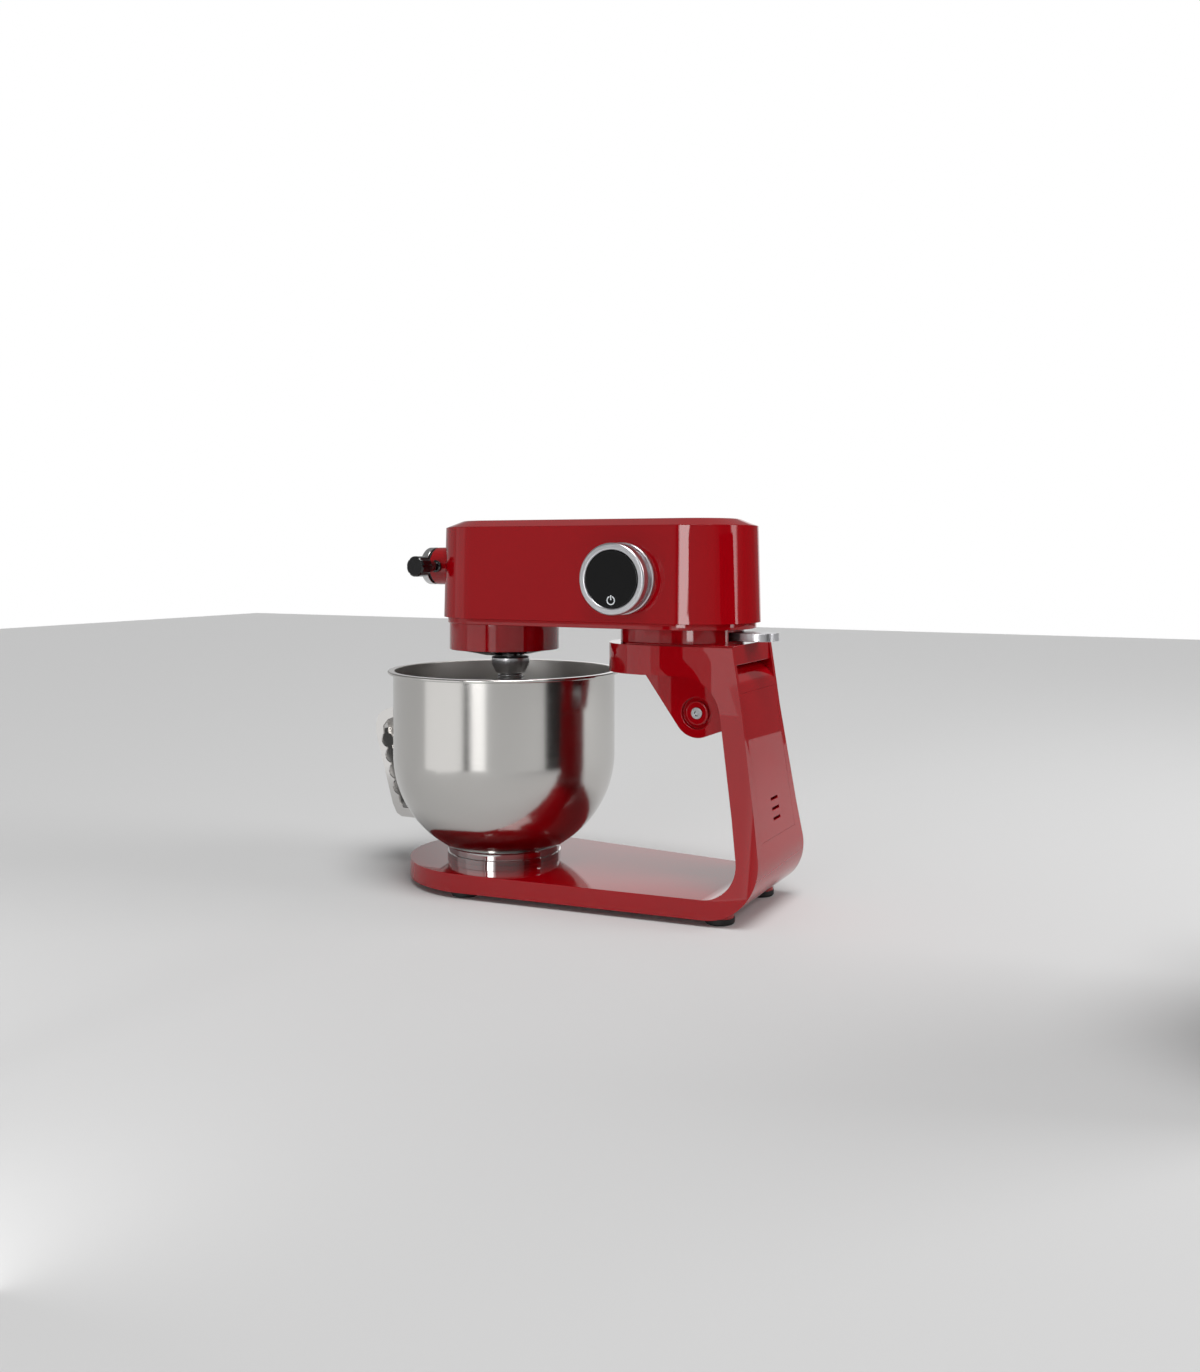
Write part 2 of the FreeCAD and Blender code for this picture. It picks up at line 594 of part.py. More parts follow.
# ---------------------------------------------------------------- the tilting arm
arm = body("TiltArm")
sk = sketch(arm, "XZ_Plane", "ArmSide")
reach = V.core_radius + V.arm_gap
leg = V.leg_end
tail_low = V.platform_top - V.tail_drop
tail_x = pivot_x + root(reach * reach - (tail_low - pivot_z) * (tail_low - pivot_z))
front_dir = 36.0
outline(sk, [
    (slot_front + 2.4, neck_low + 1),
    (pivot_x - leg * cosine(front_dir) - 0.2, pivot_z - leg * sine(front_dir) + 0.2),
    (pivot_x - leg * cosine(front_dir), pivot_z - leg * sine(front_dir), leg,
     (pivot_x, pivot_z), 1),
    (pivot_x + leg * cosine(69), pivot_z - leg * sine(69)),
    (pivot_x + V.heel_radius * cosine(25), pivot_z - V.heel_radius * sine(25), V.heel_radius,
     (pivot_x, pivot_z), 1),
    (pivot_x + V.heel_radius * sine(2), pivot_z + V.heel_radius * cosine(2)),
    (pivot_x - reach * sine(15.5), pivot_z + reach * cosine(15.5), reach,
     (pivot_x, pivot_z), -1),
    (tail_x, tail_low), (column_outer(V.platform_top) + 0.6, tail_low),
    (column_outer(V.platform_top) - 0.6, neck_low + 1),
])
pad(arm, sk, V.arm_half * 2, both=True)
sk = sketch(arm, "XY_Plane", "NeckPlan", (0, 0, neck_low))
stadium(sk, platform_x, neck_rear_x, V.neck_half)
pad(arm, sk, V.neck_high)
sk = sketch(arm, "XZ_Plane", "ForkGap")
circle(sk, pivot_x, pivot_z, V.core_radius)
pocket(arm, sk, V.tongue_half * 2 + 2, both=True)
sk = sketch(arm, "XZ_Plane", "HingeBore")
circle(sk, pivot_x, pivot_z, V.hinge_radius + V.fit_gap)
pocket(arm, sk, V.arm_half * 3, both=True)
for sign in (1, -1):
    sk = sketch(arm, "XZ_Plane", "HingeRecess", (0, 0, V.arm_half * sign))
    circle(sk, pivot_x, pivot_z, 14)
    pocket(arm, sk, 4, back=sign < 0)
sk = sketch(arm, "XY_Plane", "LeverRecess", (0, 0, lever_low - 0.4))
outline(sk, [(lever_x - 12, -19), (neck_rear_x + 80, -19), (neck_rear_x + 80, 19), (lever_x - 12, 19)])
pocket(arm, sk, V.lever_thick + 0.8, back=True)
node(arm, "tilt_arm")
node(turned("HingeShaft", rod(V.hinge_radius, -V.arm_half + 4, V.arm_half - 4),
            (pivot_x, 0, pivot_z), "Y"), "hinge_shaft")
for label, axis in (("hinge_cap_left", "-Y"), ("hinge_cap_right", "Y")):
    cap = turned("HingeCap", [(5.1, V.arm_half - 4), (10.5, V.arm_half - 4), (10.5, V.arm_half - 1.2),
                              (9.5, V.arm_half - 0.6), (5.1, V.arm_half - 0.6)],
                 (pivot_x, 0, pivot_z), axis)
    node(cap, label)
hexagon = Part.Face(Part.makePolygon([Vector(2.6 * math.cos(math.radians(60 * i)),
                                             2.6 * math.sin(math.radians(60 * i)), 0) for i in range(7)]))
socket_screw = Part.makeCylinder(5, 4).cut(hexagon.extrude(Vector(0, 0, 3)).translated(Vector(0, 0, 1.6)))
low = float(V.arm_half) - 4
left = socket_screw.copy()
left.rotate(Vector(0, 0, 0), Vector(1, 0, 0), 90)
left.translate(Vector(0, -low, 0))
right = socket_screw.copy()
right.rotate(Vector(0, 0, 0), Vector(1, 0, 0), -90)
right.translate(Vector(0, low, 0))
node(made(Part.makeCompound([left, right]), (pivot_x, 0, pivot_z)), "hinge_screws")

# ---------------------------------------------------------------- the release lever
node(turned("LeverPin", rod(3, lever_low - 0.4, lever_low + V.lever_thick + 0.4),
            (lever_x, 0, 0)), "lever_pin")
lever = body("ReleaseLever")
sk = sketch(lever, "XY_Plane", "LeverPlan", (0, 0, lever_low))
tip_x = V.lever_reach - V.lever_half
outline(sk, [(0, 9, 9, (0, 0), 1), (-9, 0, 9, (0, 0), 1), (0, -9), (10, -10),
             (tip_x - 6, -V.lever_half), (tip_x, -V.lever_half, V.lever_half, (tip_x, 0), 1),
             (V.lever_reach, 0, V.lever_half, (tip_x, 0), 1), (tip_x, V.lever_half),
             (tip_x - 6, V.lever_half), (10, 10)])
pad(lever, sk, V.lever_thick)
sk = sketch(lever, "XY_Plane", "LeverBore", (0, 0, lever_low))
circle(sk, 0, 0, 3 + V.fit_gap)
pocket(lever, sk, V.lever_thick + 2, back=True)
place(lever, (lever_x, 0, 0))
node(lever, "release_lever")

# ---------------------------------------------------------------- the head
shell = body("HeadShell")
sk = sketch(shell, "XY_Plane", "ShellPlan", (0, 0, head_low))
stadium(sk, 0, head_rear_x, V.head_radius)
pad(shell, sk, V.head_high, taper=-V.head_draft)
sk = sketch(shell, "XY_Plane", "ShellInside", (0, 0, head_low - 1))
stadium(sk, 0, head_rear_x, shell_inner)
pocket(shell, sk, V.head_high + 2, back=True)
sk = sketch(shell, "YZ_Plane", "OutletHole", (0, 0, -V.head_radius - 10))
circle(sk, 0, outlet_z, V.outlet_radius + V.fit_gap)
pocket(shell, sk, 40, back=True)
sk = sketch(shell, "XZ_Plane", "KnobHole", (0, 0, V.head_radius + 10))
circle(sk, V.knob_x, knob_z, V.post_radius + V.fit_gap)
pocket(shell, sk, 40)
node(shell, "head_shell")

lid = body("TopCover")
lid_radius = V.head_radius - V.head_high * sine(V.head_draft) / cosine(V.head_draft)
low_sk = sketch(lid, "XY_Plane", "LidPlan", (0, 0, lid_low))
stadium(low_sk, 0, head_rear_x, lid_radius)
high_sk = sketch(lid, "XY_Plane", "LidTop", (0, 0, lid_low + V.lid_high))
stadium(high_sk, 0, head_rear_x, lid_radius - V.lid_slope)
loft = lid.newObject("PartDesign::AdditiveLoft", "LidSlope")
loft.Profile = low_sk
loft.Sections = [high_sk]
loft.Ruled = True
sk = sketch(lid, "XY_Plane", "LidSkirt", (0, 0, lid_low))
stadium(sk, 0, head_rear_x, shell_inner - V.fit_gap)
pad(lid, sk, 5, back=True)
sk = sketch(lid, "XY_Plane", "LidInside", (0, 0, lid_low - 6))
stadium(sk, 0, head_rear_x, lid_radius - V.lid_slope - 4)
pocket(lid, sk, 6 + V.lid_high - 2.5, back=True)
node(lid, "top_cover")

tray = body("LowerTray")
sk = sketch(tray, "XY_Plane", "TrayPlan", (0, 0, tray_low))
stadium(sk, V.tray_end, head_rear_x - V.tray_end, V.head_radius - V.tray_inset)
pad(tray, sk, V.tray_thick)
sk = sketch(tray, "XY_Plane", "TrayRib", (0, 0, head_low))
stadium(sk, 0, head_rear_x, shell_inner - V.fit_gap)
stadium(sk, 0, head_rear_x, shell_inner - 2.5)
pad(tray, sk, 4)
sk = sketch(tray, "XY_Plane", "NosePlan", (0, 0, nose_low))
circle(sk, 0, 0, V.nose_radius)
pad(tray, sk, tray_low - nose_low)
sk = sketch(tray, "XY_Plane", "NoseInside", (0, 0, nose_low - 1))
circle(sk, 0, 0, nose_inner)
pocket(tray, sk, gear_low + V.gear_wide + 1.5 - nose_low + 1, back=True)
sk = sketch(tray, "XY_Plane", "BearingBoss", (0, 0, head_low))
circle(sk, 0, 0, V.bearing_radius + 4)
pad(tray, sk, pulley_low - 2 - head_low)
sk = sketch(tray, "XY_Plane", "BearingBore", (0, 0, nose_low))
circle(sk, 0, 0, V.bearing_radius)
pocket(tray, sk, 60, back=True)
node(tray, "lower_tray")

bearing_low = gear_low + V.gear_wide + 1.5
bearing_high = pulley_low - 2
for label, low in (("main_bearing_lower", bearing_low), ("main_bearing_upper", bearing_high - 8)):
    node(turned("Bearing", tube(V.bearing_radius - 0.02, V.main_shaft_radius + V.fit_gap, low, low + 8)),
         label)

bracket_low = motor_low - 3.5
half_long, half_wide = V.motor_radius + 8, V.motor_radius + 4
plate_box = box(V.motor_x - half_long, V.motor_x + half_long, -half_wide, half_wide, bracket_low, motor_low)
posts = [cylinder(4, bracket_low - head_low,
                  (V.motor_x + sx * (half_long - 6), sy * (half_wide - 6), head_low))
         for sx in (1, -1) for sy in (1, -1)]
hole = cylinder(V.motor_pulley_radius + 3, 20, (V.motor_x, 0, bracket_low - 8))
node(cut(fuse(plate_box, *posts), hole), "motor_bracket")
can_top = motor_low + V.motor_high
node(turned("MotorCan", [
    (V.motor_shaft_radius + 2, motor_low), (V.motor_radius, motor_low), (V.motor_radius, can_top),
    (V.motor_shaft_radius + 2, can_top), (V.motor_shaft_radius + 2, can_top - V.motor_wall),
    (V.motor_radius - V.motor_wall, can_top - V.motor_wall),
    (V.motor_radius - V.motor_wall, motor_low + V.motor_wall),
    (V.motor_shaft_radius + 2, motor_low + V.motor_wall)], (V.motor_x, 0, 0)), "motor_can")
for label, low in (("motor_bush_lower", motor_low), ("motor_bush_upper", can_top - V.motor_wall)):
    node(turned("MotorBush", tube(V.motor_shaft_radius + 1.98, V.motor_shaft_radius + V.fit_gap,
                                  low, low + V.motor_wall), (V.motor_x, 0, 0)), label)

# the belt runs round the two pulleys
belt_in, belt_far = float(V.pulley_radius + V.free_gap), float(V.motor_x)
belt_small = float(V.motor_pulley_radius + V.free_gap)


def belt_face(grow):
    """The loop round both pulleys, grown outwards."""
    big, small = belt_in + grow, belt_small + grow
    tilt = math.asin((big - small) / belt_far)
    c, s = math.sin(tilt), math.cos(tilt)
    a, b = Vector(big * c, big * s, 0), Vector(belt_far + small * c, small * s, 0)
    a2, b2 = Vector(a.x, -a.y, 0), Vector(b.x, -b.y, 0)
    return Part.Face(Part.Wire([
        Part.LineSegment(a, b).toShape(), Part.Arc(b, Vector(belt_far + small, 0, 0), b2).toShape(),
        Part.LineSegment(b2, a2).toShape(), Part.Arc(a2, Vector(-big, 0, 0), a).toShape()]))


belt_up = Vector(0, 0, float(V.pulley_wide) - 2)
belt = belt_face(float(V.belt_thick)).extrude(belt_up).cut(belt_face(0).extrude(belt_up))
node(made(belt, (0, 0, pulley_low + 1)), "drive_belt")

board = box(V.knob_x - 30, V.knob_x + 30, -board_y, 1.6 - board_y, head_low + 8, knob_z + 28)
standoffs = [cylinder(2.5, V.board_gap, (V.knob_x + sx * 25, -board_y, knob_z + sz), "-Y")
             for sx in (1, -1) for sz in (-26, 24)]
node(cut(board, *[cylinder(1.6, 6, (V.knob_x + sx * 25, 4.4 - board_y, knob_z + sz), "-Y")
                  for sx in (1, -1) for sz in (-26, 24)]), "control_board")
node(fuse(*[cut(s, cylinder(1.6, 6, (V.knob_x + sx * 25, 1.4 - board_y, knob_z + sz), "-Y"))
            for s, (sx, sz) in zip(standoffs, [(1, -26), (1, 24), (-1, -26), (-1, 24)])]),
     "board_standoffs")

# ---------------------------------------------------------------- the control knob
knob_at = (V.knob_x, 0, knob_z)
bezel_solid = turned("KnobBezel", [(V.post_radius + 0.02, V.head_radius - 3.5),
                                   (bezel_radius, V.head_radius - 3.5),
                                   (bezel_radius, bezel_front - 0.8),
                                   (bezel_radius - 0.8, bezel_front),
                                   (V.post_radius + 0.02, bezel_front)], knob_at, "-Y")
wall = body("WallForBezel")
sk = sketch(wall, "XY_Plane", "WallPlan", (0, 0, head_low))
stadium(sk, 0, head_rear_x, V.head_radius)
pad(wall, sk, V.head_high, taper=-V.head_draft)
node(cut(bezel_solid, wall), "knob_bezel")
node(turned("DisplayPost", [
    (0, board_y + 0.2), (V.post_radius, board_y + 0.2), (V.post_radius, knob_face - 4),
    (glass_radius - 0.3, knob_face - 4), (glass_radius - 0.3, knob_face - 2), (0, knob_face - 2)],
    knob_at, "-Y"), "display_post")
node(turned("DisplayGlass", [(0, knob_face - 2), (glass_radius, knob_face - 2),
                             (glass_radius, knob_face - 0.3), (glass_radius - 0.3, knob_face),
                             (0, knob_face)], knob_at, "-Y"), "display_glass")
icon_ring = Part.makeCylinder(4, 0.3).cut(Part.makeCylinder(3.1, 0.3))
icon_ring = icon_ring.cut(Part.makeBox(2.4, 5, 0.3, Vector(-1.2, 0, 0)))
icon = Part.makeCompound([icon_ring, Part.makeBox(0.9, 4.2, 0.3, Vector(-0.45, 0.4, 0))])
node(made(icon, (V.knob_x, -knob_face, knob_z - 18.5), "-Y"), "power_icon")
node(turned("KnobRing", [
    (V.post_radius + V.free_gap, bezel_front + V.free_gap), 
    (V.knob_radius - 3.5, bezel_front + V.free_gap), (V.knob_radius - 4.5, knob_face - 11),
    (V.knob_radius, knob_face - 9), (V.knob_radius, knob_face - 0.8),
    (V.knob_radius - 1.2, knob_face + 0.4), (glass_radius + 1.4, knob_face + 0.4),
    (glass_radius + V.free_gap, knob_face - 0.6), (glass_radius + V.free_gap, knob_face - 4.4),
    (V.post_radius + V.free_gap, knob_face - 4.4)], knob_at, "-Y"), "knob_ring")

# ---------------------------------------------------------------- the accessory outlet
outlet_at = (0, 0, outlet_z)
outlet_tube = turned("OutletTube", [
    (outlet_bore, shell_inner - 15.4), (V.outlet_radius, shell_inner - 15.4),
    (V.outlet_radius, outlet_front - 0.6),
    (V.outlet_radius - 0.6, outlet_front), (outlet_bore, outlet_front)], outlet_at, "-X")
node(cut(outlet_tube, cylinder(3 + V.free_gap, 30, (screw_x, 0, outlet_z), "-Y")), "outlet_tube")
node(turned("OutletGasket", tube(V.outlet_radius - 1.5, outlet_bore, outlet_front,
                                 outlet_front + V.gasket_thick - V.free_gap), outlet_at, "-X"),
     "outlet_gasket")
cap_low = outlet_front + V.gasket_thick
node(turned("OutletCap", [
    (0, outlet_front - 14), (outlet_bore - V.fit_gap, outlet_front - 14),
    (outlet_bore - V.fit_gap, cap_low), (V.outlet_radius, cap_low),
    (V.outlet_radius, cap_low + V.cap_thick - 2), (V.outlet_radius - 2, cap_low + V.cap_thick),
    (outlet_bore, cap_low + V.cap_thick),
    (outlet_bore - 0.5, cap_low + V.cap_thick - 1), (0, cap_low + V.cap_thick - 1)],
    outlet_at, "-X"), "outlet_cap")
knurl = turned("ThumbScrew", [
    (0, 14.4), (3, 14.4), (3, V.outlet_radius + 0.4), (6, V.outlet_radius + 0.4), (6, 21), (4.5, 21.6),
    (4.5, 24), (5.5, 28), (7, 36), (V.screw_head_radius - 1, 39.5), (V.screw_head_radius, 41),
    (V.screw_head_radius, 54.5), (V.screw_head_radius - 1.5, 56), (0, 56)],
    (screw_x, 0, outlet_z), "-Y")
grooves = []
for i in range(8):
    angle = math.radians(45 * i)
    grip_radius = float(V.screw_head_radius) + 0.9
    grooves.append(Part.makeCylinder(1.8, 20, Vector(grip_radius * math.cos(angle),
                                                     grip_radius * math.sin(angle), 38)))
node(cut(knurl, made(Part.makeCompound(grooves), (screw_x, 0, outlet_z), "-Y")), "thumb_screw")

# ---------------------------------------------------------------- the planetary drive
gear_wide = float(V.gear_wide)
module = float(V.gear_module)
ring_cut = gear_outline(int(V.ring_teeth.value), module, float(ring_pitch) + 1.25 * module,
                        float(ring_pitch) - 0.9 * module, 0.2)
ring = Part.makeCylinder(float(nose_inner) - 0.02, gear_wide).cut(ring_cut.extrude(Vector(0, 0, gear_wide)))
node(made(ring, (0, 0, gear_low), "Z", V.planet_angle), "ring_gear")
carrier = turned("PlanetCarrier", [
    (V.main_shaft_radius + 0.01, carrier_low), (22, carrier_low),
    (carrier_radius, carrier_low + 5), (carrier_radius, carrier_low + 9),
    (V.main_shaft_radius + 0.01, carrier_low + 9)])
bush_radius = V.beater_shaft_radius + 2
boss = cylinder(9, gear_low - 1 - carrier_low, (beater_x, beater_y, carrier_low))
hub = cylinder(9, gear_low - 1 - carrier_low, (0, 0, carrier_low))
bores = [cylinder(bush_radius + 0.01, 60, (beater_x, beater_y, carrier_low - 20)),
         cylinder(V.main_shaft_radius + 0.01, 60, (0, 0, carrier_low - 20))]
node(cut(fuse(carrier, boss, hub), *bores), "planet_carrier")
node(turned("MainShaft", rod(V.main_shaft_radius, carrier_low, pulley_low + V.pulley_wide + 4)),
     "main_shaft")
pulley_bore = V.main_shaft_radius + 0.01
node(turned("DrivePulley", [
    (pulley_bore, pulley_low), (V.pulley_radius, pulley_low),
    (V.pulley_radius, pulley_low + V.pulley_wide), (V.pulley_radius - 6, pulley_low + V.pulley_wide),
    (V.pulley_radius - 6, pulley_low + 4), (11, pulley_low + 4), (11, pulley_low + V.pulley_wide),
    (pulley_bore, pulley_low + V.pulley_wide)]), "drive_pulley")
node(turned("BeaterBush", tube(bush_radius, V.beater_shaft_radius + V.fit_gap, carrier_low,
                               gear_low - 1), (beater_x, beater_y, 0)), "beater_bush")
pinion_face = gear_outline(int(V.planet_teeth.value), float(V.gear_module),
                           float(planet_pitch) + 0.9 * float(V.gear_module),
                           float(planet_pitch) - 1.2 * float(V.gear_module), -0.2)
pinion = pinion_face.extrude(Vector(0, 0, gear_wide + 0.4)).cut(
    Part.makeCylinder(float(V.beater_shaft_radius) + 0.01, gear_wide + 0.4))
node(made(pinion, (beater_x, beater_y, gear_low - 0.4), "Z", V.planet_angle), "planet_pinion")
beater_rod = turned("BeaterRod", rod(V.beater_shaft_radius, collar_low - 14,
                                     gear_low + V.gear_wide + 0.8), (beater_x, beater_y, 0))
node(turned("ToolCollar", [
    (V.beater_shaft_radius + 0.01, collar_low), (V.collar_radius - 5, collar_low),
    (V.collar_radius - 4, collar_low + 1), (V.collar_radius, collar_top - 6.5),
    (V.collar_radius, collar_top - 1),
    (V.collar_radius - 1, collar_top), (V.beater_shaft_radius + 0.01, collar_top)],
    (beater_x, beater_y, 0)), "tool_collar")
pin_z = collar_low - 8
pin_at = (beater_x, beater_y, 0)
hook_path = [Vector(0, 0, float(pin_z) - 9), Vector(0, 0, float(collar_low) - 36.6),
             Vector(float(V.hook_reach), 0, float(hook_low) + 88),
             Vector(float(V.hook_reach), 0, float(hook_low) + 42), Vector(6, 0, float(hook_low) + 8),
             Vector(-18, 9, float(hook_low) + 4), Vector(-24, 14, float(hook_low) + 22)]
hook_wire = rounded_wire(hook_path, 13.0)
ring_wire = Part.Wire(Part.makeCircle(float(V.hook_wire), hook_path[0], Vector(0, 0, 1)))
hook = hook_wire.makePipeShell([ring_wire], True, True)
sleeve = Part.makeCylinder(10, 18, Vector(0, 0, float(collar_low) - 18.4)).cut(
    Part.makeCylinder(float(V.beater_shaft_radius) + 0.02, 14.4, Vector(0, 0, float(collar_low) - 14.4)))
hook = hook.fuse(sleeve)
hook = hook.cut(Part.makeCylinder(2.05, 30, Vector(-15, 0, float(pin_z)), Vector(1, 0, 0)))
node(made(hook, pin_at, "Z", V.planet_angle - 20), "dough_hook")
pin = Part.makeCylinder(2, 19, Vector(-9.5, 0, float(pin_z)), Vector(1, 0, 0))
node(made(pin, pin_at, "Z", V.planet_angle - 20), "hook_pin")
shaft_hole = made(Part.makeCylinder(2.05, 30, Vector(-15, 0, float(pin_z)), Vector(1, 0, 0)), pin_at, "Z",
                  V.planet_angle - 20)
node(cut(beater_rod, shaft_hole), "beater_shaft")

# ---------------------------------------------------------------- the motor's turning parts
motor_at = (V.motor_x, 0, 0)
node(turned("MotorShaft", rod(V.motor_shaft_radius, pulley_low - 2, can_top + 1), motor_at), "motor_shaft")
node(turned("MotorPulley", tube(V.motor_pulley_radius, V.motor_shaft_radius + 0.01, pulley_low,
                                pulley_low + V.pulley_wide), motor_at), "motor_pulley")
node(turned("MotorRotor", tube(25, V.motor_shaft_radius + 0.01, motor_low + 8, can_top - 12), motor_at),
     "motor_rotor")

# ---------------------------------------------------------------- the bowl
belly_x = V.bowl_radius - V.belly_radius
sin_b, cos_b = sine(V.belly_angle), cosine(V.belly_angle)
low_x, low_z = belly_x + V.belly_radius * cos_b, belly_z - V.belly_radius * sin_b
floor_x = low_x - (low_z - bowl_floor_z) * sin_b / cos_b
inside = V.belly_radius - V.bowl_wall
in_x, in_z = belly_x + inside * cos_b, belly_z - inside * sin_b
in_floor_z = bowl_floor_z + V.bowl_wall
in_floor_x = in_x - (in_z - in_floor_z) * sin_b / cos_b
rim_low = bowl_rim_z - V.rim_thick
node(turned("Bowl", [
    (0, bowl_floor_z), (floor_x, bowl_floor_z),
    (low_x, low_z, V.belly_radius, (belly_x, belly_z), 1), (V.bowl_radius, belly_z),
    (V.bowl_radius, rim_low), (rim_radius - 0.8, rim_low), (rim_radius, rim_low + 0.8),
    (rim_radius, bowl_rim_z - 0.8), (rim_radius - 0.8, bowl_rim_z),
    (V.bowl_radius - V.bowl_wall + 0.4, bowl_rim_z), (V.bowl_radius - V.bowl_wall, bowl_rim_z - 0.6),
    (V.bowl_radius - V.bowl_wall, belly_z, inside, (belly_x, belly_z), -1), (in_x, in_z),
    (in_floor_x, in_floor_z), (0, in_floor_z)]), "bowl")
ring_in = V.foot_ring_radius - V.foot_ring_wall
foot_ring = turned("FootRing", [
    (ring_in, plate_top), (V.foot_ring_radius, plate_top), (V.foot_ring_radius, plate_top + 4.5),
    (V.foot_ring_radius - 1.2, plate_top + 5.2), (V.foot_ring_radius - 1.2, bowl_floor_z),
    (ring_in, bowl_floor_z)])
spigot_low = plate_top - 5.2
spigot = cut(cylinder(lug_radius - 3.9, bowl_floor_z - spigot_low, (0, 0, spigot_low)),
             cylinder(lug_radius - 8, 30, (0, 0, spigot_low - 2)))
web = cut(cylinder(ring_in + 1, 3, (0, 0, bowl_floor_z - 3)),
          cylinder(lug_radius - 8, 30, (0, 0, spigot_low - 2)))
lugs = []
for i in range(3):
    lug = Part.makeCylinder(float(lug_radius), 1.8, Vector(0, 0, 0), Vector(0, 0, 1), 12).cut(
        Part.makeCylinder(float(lug_radius) - 6, 1.8))
    lug.rotate(Vector(0, 0, 0), Vector(0, 0, 1), 120 * i - 6)
    lugs.append(lug)
lug_group = made(Part.makeCompound(lugs), (0, 0, spigot_low))
node(fuse(foot_ring, spigot, web, lug_group), "bowl_foot_ring")


def bowl_side(z):
    """The bowl's outer radius at a height on its belly."""
    return belly_x + root(V.belly_radius * V.belly_radius - (belly_z - z) * (belly_z - z))


handle = body("BowlHandle")
cone_top = -bowl_side(handle_low + V.handle_deep) - 0.3
cone_low = -bowl_side(handle_low) - 0.3
wall_x = -V.bowl_radius - 0.15
deep_, strap = V.handle_deep, V.handle_strap
top_z, low_edge, far = handle_top, handle_low, -handle_reach
sk = sketch(handle, "XZ_Plane", "HandleSide")
outline(sk, [
    (wall_x, top_z), (far + 12, top_z - 7), (far + 3, top_z - 13), (far, top_z - 22),
    (far + 0.5, top_z - 32), (far + 21, low_edge + 12), (far + 26, low_edge + 3), (far + 32, low_edge),
    (cone_low, low_edge), (cone_top, low_edge + deep_), (far + 34, low_edge + deep_),
    (far + 30, low_edge + deep_ + 4), (far + deep_ + 0.5, top_z - 34), (far + deep_, top_z - 24),
    (far + 15, top_z - 17), (wall_x, top_z - deep_)])
pad(handle, sk, V.handle_half * 2, both=True)
sk = sketch(handle, "XZ_Plane", "HandleChannel")
outline(sk, [
    (wall_x + 2, top_z - strap), (far + 14, top_z - 7 - strap), (far + 3 + strap, top_z - 14.5),
    (far + strap, top_z - 22.5), (far + 0.5 + strap, top_z - 32.5), (far + 21 + strap, low_edge + 13),
    (far + 28, low_edge + 3 + strap), (far + 33, low_edge + strap), (cone_low + 3, low_edge + strap),
    (cone_top + 6, low_edge + deep_ + 1), (far + 35, low_edge + deep_ + 1),
    (far + 31, low_edge + deep_ + 5), (far + deep_ + 1.5, top_z - 34), (far + deep_ + 1, top_z - 24),
    (far + 15.5, top_z - 18), (wall_x + 2, top_z - deep_ - 1)])
pocket(handle, sk, V.handle_half * 2 - 4, both=True)
node(handle, "bowl_handle")

# ---------------------------------------------------------------- check and write
doc.recompute()
faults = [obj.Label for obj in doc.Objects if "Invalid" in obj.State or "Error" in obj.State]
for obj in nodes:
    if obj.Shape.isNull() or not obj.Shape.isValid() or not obj.Shape.Solids:
        faults.append(obj.Label + " shape")
if faults:
    raise SystemExit("failed: " + ", ".join(faults))
for obj in nodes:
    obj.Shape.exportStep("parts/%s.step" % obj.Label)
    bounds = obj.Shape.BoundBox
    print("%-20s %2d %9.1f  x %7.1f %7.1f  y %7.1f %7.1f  z %6.1f %6.1f" % (
        obj.Label, len(obj.Shape.Solids), obj.Shape.Volume, bounds.XMin, bounds.XMax, bounds.YMin,
        bounds.YMax, bounds.ZMin, bounds.ZMax))
print(len(nodes), "sub-parts")
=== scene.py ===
import bpy
import json
import math
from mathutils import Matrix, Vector


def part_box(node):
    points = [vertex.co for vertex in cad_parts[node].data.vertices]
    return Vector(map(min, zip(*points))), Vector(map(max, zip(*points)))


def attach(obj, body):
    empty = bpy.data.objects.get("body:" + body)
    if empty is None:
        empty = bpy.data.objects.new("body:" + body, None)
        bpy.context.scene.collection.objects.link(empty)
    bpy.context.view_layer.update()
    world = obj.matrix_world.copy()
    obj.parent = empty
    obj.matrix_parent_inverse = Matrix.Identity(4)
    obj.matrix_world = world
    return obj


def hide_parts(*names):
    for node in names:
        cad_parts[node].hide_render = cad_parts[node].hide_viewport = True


# A tilt-head stand mixer: gloss red castings, a brushed steel bowl, satin silver knob and lever.
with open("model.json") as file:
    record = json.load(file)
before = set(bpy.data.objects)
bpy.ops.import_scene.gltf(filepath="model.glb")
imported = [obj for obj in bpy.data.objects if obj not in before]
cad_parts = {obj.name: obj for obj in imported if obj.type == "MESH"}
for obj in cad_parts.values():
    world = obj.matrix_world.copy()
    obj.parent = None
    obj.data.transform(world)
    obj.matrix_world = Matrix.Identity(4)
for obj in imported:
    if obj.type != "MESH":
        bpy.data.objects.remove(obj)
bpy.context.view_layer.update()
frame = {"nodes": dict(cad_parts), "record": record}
nodes = frame["nodes"]
MM = 0.001
BOWL_AXIS = -69.25                        # x of the bowl's axis, in mm
COLOUR_A, COLOUR_B, COLOUR_OUT = 6, 7, 2   # colour sockets of a Mix node


# ------------------------------------------------------------------ small helpers
def linear(code):
    """An sRGB hex colour as a linear RGBA value."""
    parts = [int(code[i:i + 2], 16) / 255 for i in (1, 3, 5)]
    return tuple(c / 12.92 if c <= 0.04045 else ((c + 0.055) / 1.055) ** 2.4 for c in parts) + (1.0,)


def add(tree, kind, settings=None, links=None):
    """Add one node with its settings, and links into its sockets from (node, socket) pairs."""
    item = tree.nodes.new(kind)
    for key, value in (settings or {}).items():
        if isinstance(key, str) and hasattr(item, key):
            setattr(item, key, value)
        else:
            item.inputs[key].default_value = value
    for key, (source, socket) in (links or {}).items():
        tree.links.new(source.outputs[socket], item.inputs[key])
    return item


